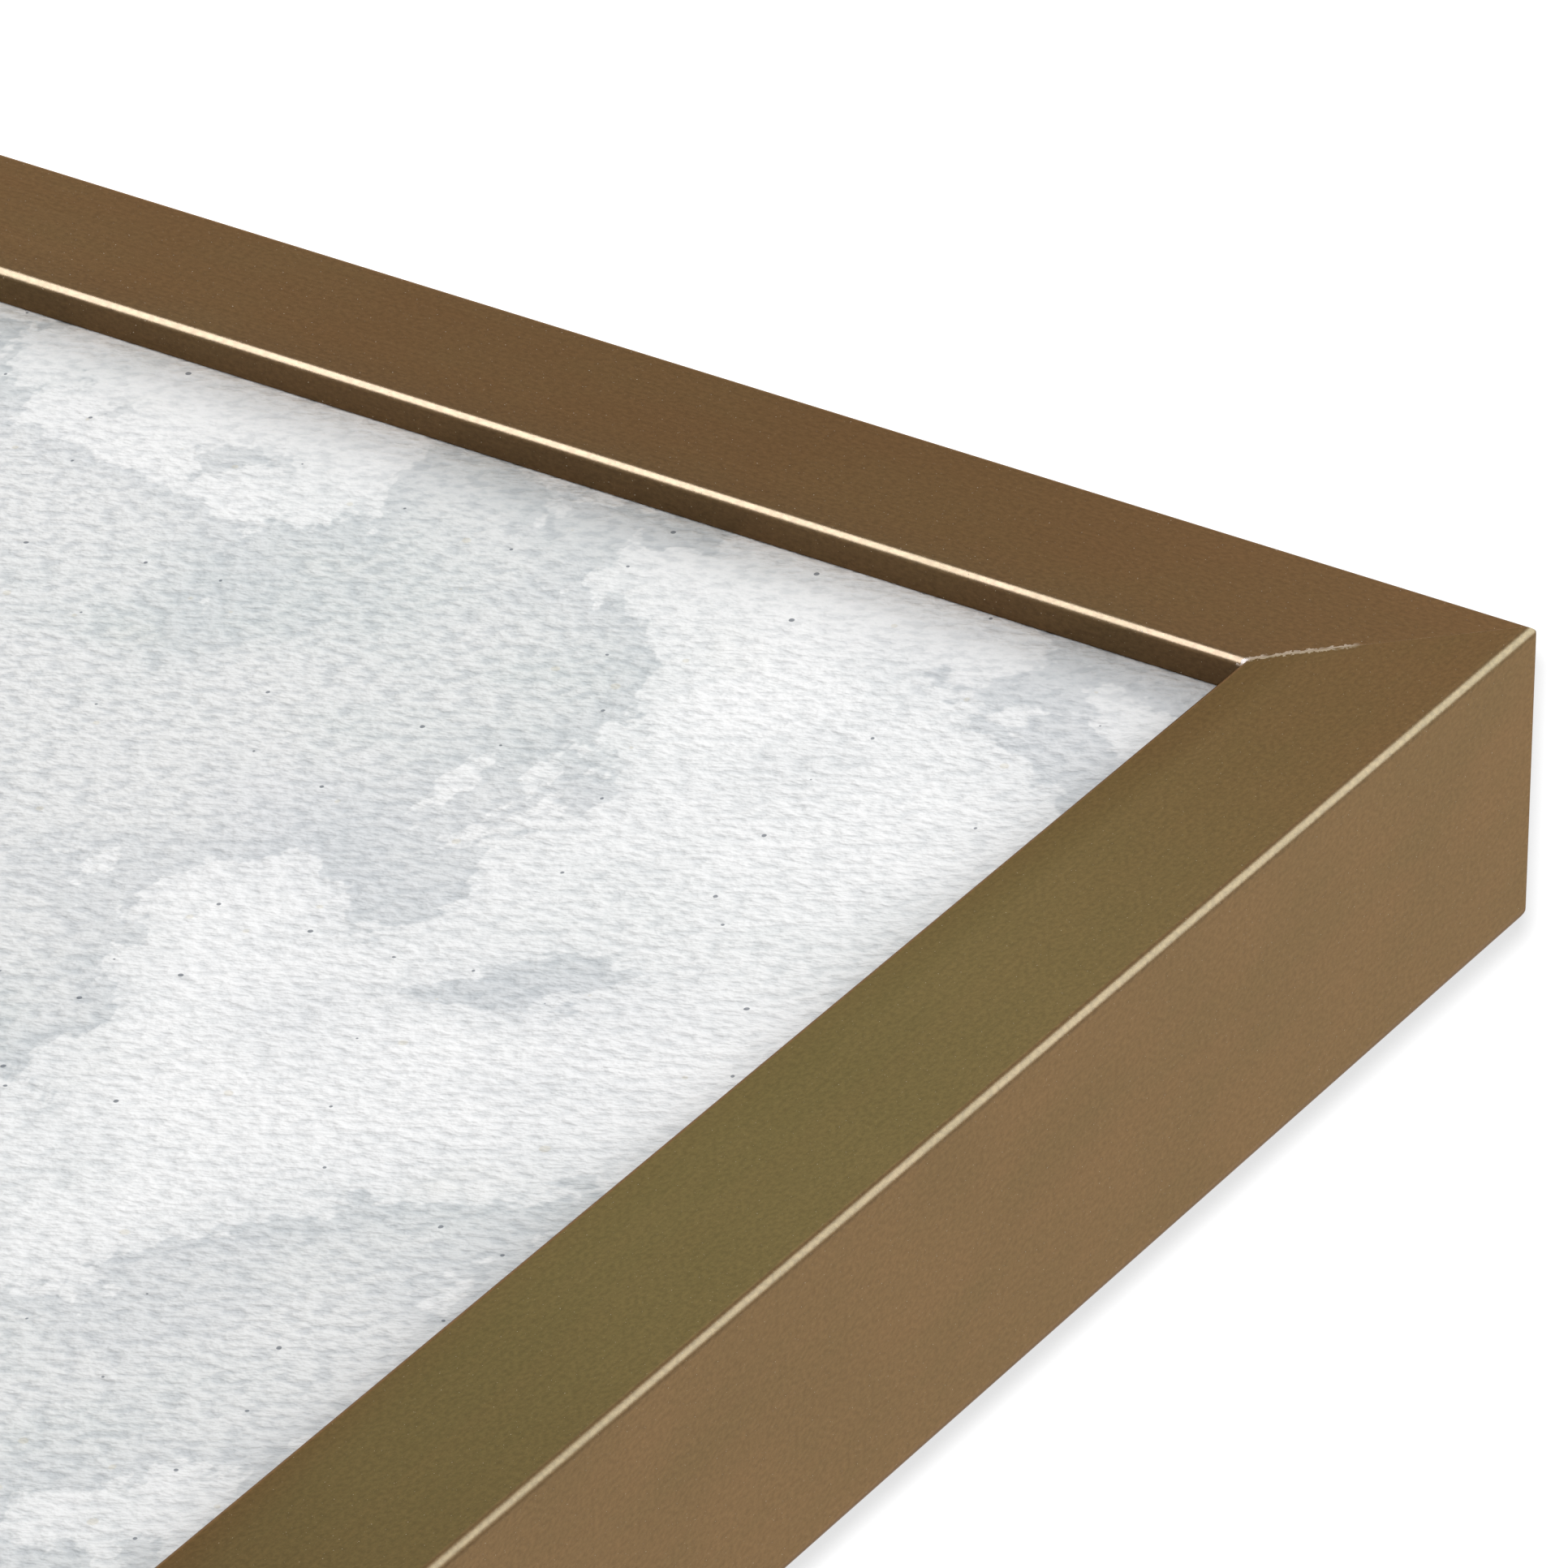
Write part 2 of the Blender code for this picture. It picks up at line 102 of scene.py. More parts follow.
def add_camera():
    """The camera at the photograph's viewing angle."""
    away = -RIGHT * math.cos(VIEW_TURN) - UP * math.sin(VIEW_TURN)
    forward = away * math.cos(VIEW_TILT) + BACK * math.sin(VIEW_TILT)
    upward = away * math.sin(VIEW_TILT) - BACK * math.cos(VIEW_TILT)
    aim = Vector((LOW.x + AIM_ALONG_TOP, FRONT_Y, HIGH.z - AIM_DOWN_SIDE))
    across = forward.cross(upward)
    turn = Matrix((across, upward, -forward)).transposed().to_4x4()
    turn = turn @ Matrix.Rotation(-CAMERA_ROLL, 4, "Z")
    data = bpy.data.cameras.new("camera")
    data.lens = LENS_MM
    data.clip_end = CAMERA_CLIP_END
    camera = bpy.data.objects.new("camera", data)
    bpy.context.scene.collection.objects.link(camera)
    camera.matrix_world = Matrix.Translation(aim - forward * CAMERA_DISTANCE) @ turn
    bpy.context.scene.camera = camera


class Graph:
    """A material's node graph, with one short call for each kind of node it uses."""

    def __init__(self, name, roughness, metallic=0.0):
        self.material = bpy.data.materials.new(name)
        self.material.use_nodes = True
        self.tree = self.material.node_tree
        self.shader = self.tree.nodes["Principled BSDF"]
        self.shader.inputs["Roughness"].default_value = roughness
        self.shader.inputs["Metallic"].default_value = metallic

    def node(self, kind, **settings):
        made = self.tree.nodes.new(kind)
        for key, value in settings.items():
            setattr(made, key, value)
        return made

    def put(self, socket, value):
        """Link an output to a socket, or set the socket's own value."""
        if isinstance(value, bpy.types.NodeSocket):
            self.tree.links.new(value, socket)
        elif socket.type == "RGBA":
            socket.default_value = (*value, 1.0)
        else:
            socket.default_value = value

    def set(self, name, value):
        self.put(self.shader.inputs[name], value)

    def coordinates(self, scale, uv=None, turn=0.0):
        """Object coordinates, or the named UV map's, turned about Z and scaled on each axis."""
        if uv:
            source = self.node("ShaderNodeUVMap", uv_map=uv).outputs["UV"]
        else:
            source = self.node("ShaderNodeTexCoord").outputs["Object"]
        if turn:
            rotation = self.node("ShaderNodeMapping")
            self.put(rotation.inputs["Vector"], source)
            rotation.inputs["Rotation"].default_value = (0.0, 0.0, turn)
            source = rotation.outputs["Vector"]
        mapping = self.node("ShaderNodeMapping")
        self.put(mapping.inputs["Vector"], source)
        mapping.inputs["Scale"].default_value = scale
        return mapping.outputs["Vector"]

    def noise(self, vector, scale=1.0, detail=3.0, roughness=0.5, distortion=0.0):
        made = self.node("ShaderNodeTexNoise")
        self.put(made.inputs["Vector"], vector)
        made.inputs["Scale"].default_value = scale
        made.inputs["Detail"].default_value = detail
        made.inputs["Roughness"].default_value = roughness
        made.inputs["Distortion"].default_value = distortion
        return made.outputs["Fac"]

    def spots(self, vector, radius, keep, dimensions="2D"):
        """Uneven spots of a radius in cell units, in the given share of cells."""
        cells = self.node("ShaderNodeTexVoronoi", feature="F1", voronoi_dimensions=dimensions)
        self.put(cells.inputs["Vector"], vector)
        wobble = self.levels(self.noise(vector, 0.6 / radius, 2.0), 0.3, 0.7, -0.6, 0.6)
        wobble = self.math("MULTIPLY", wobble, radius)
        distance = self.math("ADD", cells.outputs["Distance"], wobble)
        near = self.levels(distance, radius, radius * 0.6)
        pick = self.node("ShaderNodeSeparateColor")
        self.put(pick.inputs["Color"], cells.outputs["Color"])
        chosen = self.math("LESS_THAN", pick.outputs["Red"], keep)
        return self.math("MULTIPLY", near, chosen)

    def math(self, operation, first, second=0.0):
        made = self.node("ShaderNodeMath", operation=operation)
        self.put(made.inputs[0], first)
        self.put(made.inputs[1], second)
        return made.outputs[0]

    def levels(self, value, low, high, to_low=0.0, to_high=1.0):
        """Smoothly rescale a value, from low..high to to_low..to_high."""
        made = self.node("ShaderNodeMapRange", interpolation_type="SMOOTHSTEP")
        self.put(made.inputs["Value"], value)
        for key, bound in (("From Min", low), ("From Max", high),
                           ("To Min", to_low), ("To Max", to_high)):
            made.inputs[key].default_value = bound
        return made.outputs["Result"]

    def blend(self, share, first, second, kind="MIX"):
        made = self.node("ShaderNodeMix", data_type="RGBA", blend_type=kind)
        self.put(made.inputs["Factor"], share)
        self.put(made.inputs[6], first)
        self.put(made.inputs[7], second)
        return made.outputs[2]

    def bump(self, height, distance, strength=1.0, under=None):
        made = self.node("ShaderNodeBump")
        self.put(made.inputs["Height"], height)
        made.inputs["Distance"].default_value = distance
        made.inputs["Strength"].default_value = strength
        if under:
            self.put(made.inputs["Normal"], under)
        return made.outputs["Normal"]


# ---------------------------------------------------------------- mesh helpers

WELD = 0.01 * MM
FINE_WELD = 0.001 * MM
SLIVER = 0.0005 * MM
SHARP_ANGLE = 35.0


def arc(centre, radius, start, end, steps):
    """Points along an arc, from the start to the end angle in degrees."""
    points = []
    for step in range(steps + 1):
        angle = math.radians(start + (end - start) * step / steps)
        points.append((centre[0] + radius * math.cos(angle), centre[1] + radius * math.sin(angle)))
    return points


def basis(x_axis, y_axis, z_axis, place):
    """The matrix that carries local X, Y and Z to the given directions at a place."""
    turn = Matrix((x_axis, y_axis, z_axis)).transposed()
    return Matrix.Translation(place) @ turn.to_4x4()


def new_piece(name, mesh, matrix=None):
    """An object for a mesh, at a place."""
    piece = bpy.data.objects.new(name, mesh)
    bpy.context.scene.collection.objects.link(piece)
    if matrix is not None:
        piece.matrix_world = matrix
    return piece


def baked(piece):
    """The mesh of a piece with its modifiers applied; the piece itself is removed."""
    bpy.context.view_layer.update()
    depsgraph = bpy.context.evaluated_depsgraph_get()
    mesh = bpy.data.meshes.new_from_object(piece.evaluated_get(depsgraph))
    bpy.data.objects.remove(piece, do_unlink=True)
    return mesh


def shaded(mesh, angle=SHARP_ANGLE):
    """Smooth shading, sharp where faces meet at more than the angle."""
    mesh.shade_smooth()
    mesh.set_sharp_from_angle(angle=math.radians(angle))
    return mesh


def even_normals(piece):
    """Let large flat faces rule the shading next to narrow rounded ones."""
    weigh = piece.modifiers.new("even_normals", "WEIGHTED_NORMAL")
    weigh.keep_sharp = True


def slab(name, outlines, thickness):
    """A flat outline, with any holes, made solid to both sides of its plane."""
    curve = bpy.data.curves.new(name, "CURVE")
    curve.dimensions = "2D"
    curve.fill_mode = "BOTH"
    curve.extrude = thickness / 2.0
    for outline in outlines:
        spline = curve.splines.new("POLY")
        spline.points.add(len(outline) - 1)
        for point, (x, y) in zip(spline.points, outline):
            point.co = (x, y, 0.0, 1.0)
        spline.use_cyclic_u = True
    mesh = baked(new_piece(name, curve))
    shape = bmesh.new()
    shape.from_mesh(mesh)
    bmesh.ops.remove_doubles(shape, verts=shape.verts, dist=WELD)
    bmesh.ops.recalc_face_normals(shape, faces=shape.faces)
    shape.to_mesh(mesh)
    shape.free()
    return mesh


def turned(name, profile, steps=48):
    """A closed solid of revolution about Z, from a profile that runs down its outer side."""
    mesh = bpy.data.meshes.new(name)
    vertices = [(radius, 0.0, height) for radius, height in profile]
    edges = [(index, index + 1) for index in range(len(profile) - 1)]
    mesh.from_pydata(vertices, edges, [])
    guide = new_piece(name, mesh)
    screw = guide.modifiers.new("turn", "SCREW")
    screw.steps = steps
    screw.render_steps = steps
    screw.use_merge_vertices = True
    screw.merge_threshold = FINE_WELD
    return shaded(baked(guide))


def block(name, size):
    """A box centred on the origin."""
    shape = bmesh.new()
    bmesh.ops.create_cube(shape, size=1.0)
    bmesh.ops.scale(shape, vec=size, verts=shape.verts)
    mesh = bpy.data.meshes.new(name)
    shape.to_mesh(mesh)
    shape.free()
    return mesh


def rounded(piece, width, segments=3):
    """Round a piece's sharp edges."""
    bevel = piece.modifiers.new("rounded", "BEVEL")
    bevel.width = width
    bevel.segments = segments
    bevel.limit_method = "ANGLE"
    bevel.angle_limit = math.radians(SHARP_ANGLE)
    bevel.harden_normals = True


def settle(piece, body, slot, *nodes):
    """Fix a piece to its body and hide the CAD nodes that it stands for; its finish, the slot
    argument, is not used.
    """
    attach(piece, body)
    if nodes:
        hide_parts(*nodes)
    return piece


# ---------------------------------------------------------------- materials

FOIL = (0.127, 0.072, 0.030)
FOIL_CLOUD = (0.119, 0.071, 0.028)
FOIL_BAND = (0.133, 0.072, 0.030)
FOIL_SPECULAR_TINT = (0.65, 0.50, 0.40, 1.0)
DUST = (0.62, 0.50, 0.33)
BARE_CORE = (0.50, 0.38, 0.25)

PAPER = (0.790, 0.795, 0.793)
GREEN_WASH = (0.640, 0.680, 0.675)
BLUE_WASH = (0.690, 0.703, 0.735)
WARM_WASH = (0.80, 0.78, 0.68)
WASH_RIM = (0.56, 0.59, 0.62)
WHITE_AREA = (0.94, 0.94, 0.94)
SETTLED_WASH = (0.44, 0.47, 0.50)
STAIN = (0.60, 0.53, 0.36)
FLECK = (0.10, 0.12, 0.15)
FELT_TURN = math.radians(58.0)

PINE_LIGHT = (0.64, 0.46, 0.27)
PINE_DARK = (0.42, 0.26, 0.13)
CORE_LIGHT = (0.70, 0.55, 0.37)
CORE_DARK = (0.52, 0.36, 0.21)
HARDBOARD_DARK = (0.235, 0.130, 0.066)
HARDBOARD_LIGHT = (0.300, 0.176, 0.092)
HARDBOARD_FIBRE = (0.150, 0.082, 0.042)
HARDBOARD_FLECK = (0.40, 0.26, 0.14)
BOARD_DARK = (0.62, 0.60, 0.54)
BOARD_LIGHT = (0.70, 0.68, 0.62)
ZINC = (0.60, 0.61, 0.62)
ZINC_WORN = (0.42, 0.42, 0.42)
NICKEL = (0.62, 0.58, 0.52)
NICKEL_WORN = (0.46, 0.42, 0.36)
BRASS = (0.72, 0.53, 0.24)
BRASS_WORN = (0.50, 0.36, 0.17)
RUBBER = (0.022, 0.021, 0.021)
RUBBER_BLOOM = (0.055, 0.053, 0.051)
FLOOR_DARK = (0.90, 0.90, 0.90)
FLOOR_LIGHT = (0.92, 0.92, 0.92)

# Grain that follows an object's own axes, at the size that its noise gives
EVEN = (1.0, 1.0, 1.0)


def foil_material():
    """Satin bronze foil under a clear coat: faint drawn lines, dust specks, a chipped mitre."""
    graph = Graph("bronze_foil", 0.30, 0.9)
    streaks = graph.noise(graph.coordinates((20.0, 3600.0, 1.0), "rail"), 1.0, 3.0, 0.6)
    bands = graph.noise(graph.coordinates((3.0, 300.0, 1.0), "rail"), 1.0, 3.0, 0.5)
    clouds = graph.noise(graph.coordinates((42.0, 60.0, 1.0), "rail"), 1.0, 4.0, 0.6)
    grit = graph.noise(graph.coordinates((1300.0, 1900.0, 1.0), "rail"), 1.0, 3.0, 0.65)

    tone = graph.blend(graph.levels(clouds, 0.3, 0.7), FOIL, FOIL_CLOUD)
    tone = graph.blend(graph.levels(bands, 0.3, 0.7, 0.0, 0.3), tone, FOIL_BAND)
    drawn = graph.levels(streaks, 0.30, 0.72, 0.97, 1.03)
    drawn = graph.math("MULTIPLY", drawn, graph.levels(grit, 0.25, 0.75, 0.83, 1.17))
    drawn_colour = graph.node("ShaderNodeCombineColor")
    for channel in ("Red", "Green", "Blue"):
        graph.put(drawn_colour.inputs[channel], drawn)
    tone = graph.blend(1.0, tone, drawn_colour.outputs["Color"], "MULTIPLY")

    specks = graph.spots(graph.coordinates((110.0, 130.0, 1.0), "rail"), 0.024, 0.45)
    crumbs = graph.spots(graph.coordinates((300.0, 340.0, 1.0), "rail"), 0.050, 0.16)
    dust = graph.math("MAXIMUM", specks, graph.math("MULTIPLY", crumbs, 0.5))
    tone = graph.blend(graph.math("MULTIPLY", dust, 0.7), tone, DUST)

    chips = mitre_chips(graph)
    tone = graph.blend(graph.math("MULTIPLY", chips, 0.85), tone, BARE_CORE)
    graph.set("Base Color", tone)
    rough = graph.math("ADD", graph.levels(streaks, 0.3, 0.7, 0.30, 0.33),
                       graph.levels(clouds, 0.3, 0.7, -0.02, 0.03))
    bare = graph.math("MAXIMUM", dust, chips)
    graph.set("Roughness", graph.math("ADD", rough, graph.math("MULTIPLY", bare, 0.4)))
    graph.set("Metallic", graph.math("SUBTRACT", 0.92, graph.math("MULTIPLY", bare, 0.85)))
    lines = graph.bump(streaks, 0.0015 * MM, 0.4)
    lines = graph.bump(grit, 0.003 * MM, 0.5, lines)
    graph.set("Normal", graph.bump(specks, 0.05 * MM, 0.6, lines))
    graph.shader.inputs["Specular Tint"].default_value = FOIL_SPECULAR_TINT
    graph.shader.inputs["Coat Weight"].default_value = 0.10
    graph.shader.inputs["Coat Roughness"].default_value = 0.20
    return graph.material


def mitre_chips(graph):
    """Share of bare core that shows along the mitre, on the face's inner half."""
    source = graph.node("ShaderNodeUVMap", uv_map="mitre").outputs["UV"]
    ends = graph.node("ShaderNodeSeparateXYZ")
    graph.put(ends.inputs["Vector"], source)
    distance = graph.math("MINIMUM", ends.outputs["X"], ends.outputs["Y"])
    wander = graph.noise(graph.coordinates((1500.0, 1500.0, 1.0), "rail"), 1.0, 3.0, 0.6)
    gaps = graph.noise(graph.coordinates((330.0, 330.0, 1.0), "rail"), 1.0, 2.0, 0.5)
    width = graph.levels(wander, 0.36, 0.62, 0.15 * MM, 0.80 * MM)
    near = graph.math("LESS_THAN", distance, width)
    around = graph.node("ShaderNodeSeparateXYZ")
    graph.put(around.inputs["Vector"], graph.node("ShaderNodeUVMap", uv_map="rail").outputs["UV"])
    inner = graph.levels(around.outputs["Y"], CHIPS_START, CHIPS_START + 2.0 * MM)
    return graph.math("MULTIPLY", graph.math("MULTIPLY", near, inner),
                      graph.levels(gaps, 0.38, 0.50))


def wood_material(name, light, dark, along):
    """Planed softwood, its grain running along the given axis of the piece."""
    graph = Graph(name, 0.72)
    fine = [900.0] * 3
    fine[along] = 12.0
    wide = [70.0] * 3
    wide[along] = 2.2
    rings = graph.noise(graph.coordinates(wide), 1.0, 3.0, 0.55, 0.8)
    waves = graph.math("FRACT", graph.math("MULTIPLY", rings, 7.0))
    waves = graph.levels(waves, 0.15, 0.95)
    fibres = graph.noise(graph.coordinates(fine), 1.0, 3.0, 0.6)
    tone = graph.blend(graph.math("MULTIPLY", waves, 0.6), light, dark)
    tone = graph.blend(graph.levels(fibres, 0.35, 0.75, 0.0, 0.35), tone, dark)
    graph.set("Base Color", tone)
    graph.set("Roughness", graph.levels(fibres, 0.3, 0.7, 0.62, 0.82))
    graph.set("Normal", graph.bump(fibres, 0.03 * MM, 0.6))
    return graph.material


def paper_material():
    """Cold-press paper with pale washes, white areas and a few flecks, in a pattern of its own."""
    graph = Graph("art_paper", 0.93)
    flat = graph.coordinates(EVEN, "sheet")
    felt = graph.coordinates((470.0, 720.0, 1.0), "sheet", FELT_TURN)
    tooth = graph.noise(felt, 1.0, 2.6, 0.50)
    fine = graph.noise(flat, 1700.0, 2.0, 0.5)
    pool = graph.noise(flat, 15.0, 4.0, 0.55, 0.9)
    drift = graph.noise(flat, 9.0, 3.0, 0.5, 0.4)
    warm = graph.noise(flat, 34.0, 3.0, 0.5, 0.5)
    dabs = graph.noise(graph.coordinates((11.0, 14.0, 1.0), "sheet"), 1.0, 7.0, 0.62, 0.25)

    white = graph.math("MULTIPLY", graph.levels(dabs, 0.510, 0.522), 0.55)
    white = graph.math("ADD", white, graph.levels(dabs, 0.510, 0.640, 0.0, 0.45))
    rim = graph.math("MULTIPLY", graph.levels(dabs, 0.44, 0.51), graph.levels(dabs, 0.520, 0.510))
    settled = graph.levels(tooth, 0.56, 0.34)
    settled = graph.math("MULTIPLY", settled, graph.levels(white, 0.0, 0.9, 1.0, 0.55))
    green = graph.math("MULTIPLY", graph.levels(pool, 0.40, 0.66), 0.9)
    green = graph.math("MULTIPLY", green, graph.levels(tooth, 0.66, 0.34, 0.45, 1.0))
    blue = graph.math("MULTIPLY", graph.levels(drift, 0.48, 0.70), 0.6)
    tone = graph.blend(green, PAPER, GREEN_WASH)
    tone = graph.blend(blue, tone, BLUE_WASH)
    warmth = graph.math("MULTIPLY", graph.levels(warm, 0.60, 0.80), 0.30)
    tone = graph.blend(warmth, tone, WARM_WASH)
    tone = graph.blend(graph.math("MULTIPLY", rim, 0.30), tone, WASH_RIM)
    tone = graph.blend(graph.math("MULTIPLY", white, 0.90), tone, WHITE_AREA)
    tone = graph.blend(graph.math("MULTIPLY", settled, 0.42), tone, SETTLED_WASH)

    flecks = graph.spots(graph.coordinates((15.0, 18.0, 1.0), "sheet"), 0.022, 0.45)
    stains = graph.spots(graph.coordinates((22.0, 25.0, 1.0), "sheet"), 0.055, 0.14)
    tone = graph.blend(graph.math("MULTIPLY", stains, 0.30), tone, STAIN)
    tone = graph.blend(graph.math("MULTIPLY", flecks, 0.75), tone, FLECK)
    graph.set("Base Color", tone)
    grain = graph.bump(tooth, 0.75 * MM, 0.9)
    graph.set("Normal", graph.bump(fine, 0.10 * MM, 0.5, grain))
    graph.shader.inputs["Specular IOR Level"].default_value = 0.2
    return graph.material


def hardboard_material():
    """Smooth brown hardboard, mottled with pressed fibres."""
    graph = Graph("hardboard", 0.66)
    mottle = graph.noise(graph.coordinates(EVEN), 60.0, 5.0, 0.62)
    fibres = graph.noise(graph.coordinates(EVEN), 900.0, 3.0, 0.65, 1.5)
    flecks = graph.spots(graph.coordinates((240.0, 240.0, 240.0)), 0.16, 0.30, "3D")
    tone = graph.blend(graph.levels(mottle, 0.3, 0.7), HARDBOARD_DARK, HARDBOARD_LIGHT)
    tone = graph.blend(graph.levels(fibres, 0.35, 0.75, 0.0, 0.45), tone, HARDBOARD_FIBRE)
    tone = graph.blend(graph.math("MULTIPLY", flecks, 0.4), tone, HARDBOARD_FLECK)
    graph.set("Base Color", tone)
    graph.set("Roughness", graph.levels(fibres, 0.3, 0.7, 0.56, 0.74))
    graph.set("Normal", graph.bump(fibres, 0.04 * MM, 0.5))
    return graph.material


def board_material():
    """Buffered mount board with a faint fibre."""
    graph = Graph("mount_board", 0.88)
    fibres = graph.noise(graph.coordinates(EVEN), 700.0, 4.0, 0.6)
    tone = graph.blend(graph.levels(fibres, 0.3, 0.7), BOARD_DARK, BOARD_LIGHT)
    graph.set("Base Color", tone)
    graph.set("Normal", graph.bump(fibres, 0.02 * MM, 0.4))
    return graph.material


def plated_material(name, colour, worn, roughness):
    """Plated metal with fine scratches, dull patches and slightly worn high spots."""
    graph = Graph(name, roughness, 1.0)
    patches = graph.noise(graph.coordinates(EVEN), 260.0, 4.0, 0.6)
    scratches = graph.noise(graph.coordinates((2600.0, 300.0, 700.0)), 1.0, 3.0, 0.7)
    tone = graph.blend(graph.levels(patches, 0.35, 0.70), colour, worn)
    tone = graph.blend(graph.levels(scratches, 0.62, 0.72, 0.0, 0.4), tone, worn)
    graph.set("Base Color", tone)
    dull = graph.levels(patches, 0.3, 0.7, roughness - 0.06, roughness + 0.12)
    graph.set("Roughness", dull)
    graph.set("Normal", graph.bump(scratches, 0.01 * MM, 0.35))
    return graph.material


def rubber_material():
    """Dark moulded rubber with a fine bloom."""
    graph = Graph("bumper_rubber", 0.55)
    bloom = graph.noise(graph.coordinates(EVEN), 900.0, 4.0, 0.6)
    tone = graph.blend(graph.levels(bloom, 0.35, 0.7), RUBBER, RUBBER_BLOOM)
    graph.set("Base Color", tone)
    graph.set("Roughness", graph.levels(bloom, 0.3, 0.7, 0.48, 0.70))
    graph.set("Normal", graph.bump(bloom, 0.02 * MM, 0.4))
    return graph.material


# ---------------------------------------------------------------- the moulding

LIP_OVERLAP = 6.0 * MM
OUTER_FRONT_RADIUS = 1.3 * MM
INNER_FRONT_RADIUS = 1.0 * MM
OUTER_BACK_RADIUS = 2.8 * MM
CORNER_RADIUS = 0.6 * MM
BACK_EASE_RADIUS = 0.5 * MM
LIP_FOOT_RADIUS = 0.25 * MM
FOIL_TURN_IN = 2.2 * MM
CROWN_WIDTH = 5.5 * MM
CROWN_DROP = 0.22 * MM
MITRE_GAP = 0.02 * MM
ARC_STEPS = 10
CAD_GAP = 0.3 * MM
LIP_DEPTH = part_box("art_print")[0].y - FRONT_Y - CAD_GAP
RAIL_BACK_WIDTH = FACE_WIDTH - LIP_OVERLAP
CHIPS_START = FOIL_TURN_IN + OUTER_BACK_RADIUS + DEPTH + 0.5 * FACE_WIDTH

# Each side's visible moulding, filled in by add_rails
MOULDINGS = {}


def foil_outline():
    """The wrapped part of the section, from the foil's edge on the back round to under the lip."""
    front = OUTER_FRONT_RADIUS
    lip = INNER_FRONT_RADIUS
    back = OUTER_BACK_RADIUS
    foot = LIP_FOOT_RADIUS
    outline = [(back + FOIL_TURN_IN, DEPTH)]
    outline += arc((back, DEPTH - back), back, 90.0, 180.0, ARC_STEPS)
    outline += arc((front, front), front, 180.0, 270.0, ARC_STEPS)
    crown_start = FACE_WIDTH - lip - CROWN_WIDTH
    for step in range(1, ARC_STEPS):
        share = step / ARC_STEPS
        outline.append((crown_start + CROWN_WIDTH * share, CROWN_DROP * share * share))
    outline += arc((FACE_WIDTH - lip, lip + CROWN_DROP), lip, 275.0, 360.0, ARC_STEPS)
    outline += arc((FACE_WIDTH - foot, LIP_DEPTH - foot), foot, 0.0, 90.0, 5)
    outline.append((FACE_WIDTH - 2.0 * FOIL_TURN_IN, LIP_DEPTH))
    return outline


def core_outline():
    """The bare rest of the section: the lip's underside, the rabbet wall and the back."""
    ease = BACK_EASE_RADIUS
    outline = [(RAIL_BACK_WIDTH, LIP_DEPTH)]
    outline += arc((RAIL_BACK_WIDTH - ease, DEPTH - ease), ease, 0.0, 90.0, 3)
    return outline


def rail_mesh(name, length):
    """A mitred length of moulding along Z, with maps of its surface and of its mitres."""
    foil = foil_outline()
    outline = foil + core_outline()
    around = [0.0]
    for here, there in zip(outline, outline[1:] + outline[:1]):
        around.append(around[-1] + math.dist(here, there))
    shape = bmesh.new()
    rail_map = shape.loops.layers.uv.new("rail")
    mitre_map = shape.loops.layers.uv.new("mitre")
    turn = arc((CORNER_RADIUS, CORNER_RADIUS), CORNER_RADIUS, 180.0, 225.0, 4)
    ends = [(-1.0, inset, cut) for inset, cut in reversed(turn)]
    ends += [(1.0, inset, cut) for inset, cut in turn]
    rows = []
    for end, inset, cut in ends:
        row = []
        for x, y in outline:
            x = max(x, inset)
            row.append(shape.verts.new((x, y, end * (length / 2.0 - max(x, cut) - MITRE_GAP))))
        rows.append(row)
    count = len(outline)
    for index in range(count):
        after = (index + 1) % count
        for first, second in zip(rows, rows[1:]):
            face = shape.faces.new((first[index], first[after], second[after], second[index]))
            face.material_index = 0 if index < len(foil) - 1 else 1
            steps = (around[index], around[index + 1], around[index + 1], around[index])
            for loop, distance in zip(face.loops, steps):
                x, _, z = loop.vert.co
                loop[rail_map].uv = (z, distance)
                loop[mitre_map].uv = (length / 2.0 - x + z, length / 2.0 - x - z)
    for row in (rows[0], rows[-1]):
        shape.faces.new(row).material_index = 1
    bmesh.ops.remove_doubles(shape, verts=shape.verts, dist=FINE_WELD)
    bmesh.ops.dissolve_degenerate(shape, edges=shape.edges, dist=SLIVER)
    bmesh.ops.recalc_face_normals(shape, faces=shape.faces)
    mesh = bpy.data.meshes.new(name)
    shape.to_mesh(mesh)
    shape.free()
    return shaded(mesh, 40.0)


def side_origin(inward):
    """Middle of a side's outer edge, on the plane y = 0."""
    reach = FRAME_HEIGHT / 2.0 if abs(inward.z) > 0.5 else FRAME_WIDTH / 2.0
    return MIDDLE - inward * reach


def add_rails(foil, core):
    """The four lengths of moulding."""
    for side, inward, length in SIDES:
        place = side_origin(inward) + BACK * FRONT_Y
        matrix = basis(inward, BACK, inward.cross(BACK), place)
        rail = new_piece("moulding_" + side, rail_mesh("moulding_" + side, length), matrix)
        rail.data.materials.append(foil)
        rail.data.materials.append(core)
        even_normals(rail)
        MOULDINGS[side] = settle(rail, "frame", "bronze_foil", "rail_" + side)


# ---------------------------------------------------------------- the print

PRINT_CELL = 4.0 * MM
COCKLE = 0.12 * MM
COCKLE_SCALE = 14.0
COCKLE_FADE = 8
PRINT_GAP = 0.03 * MM


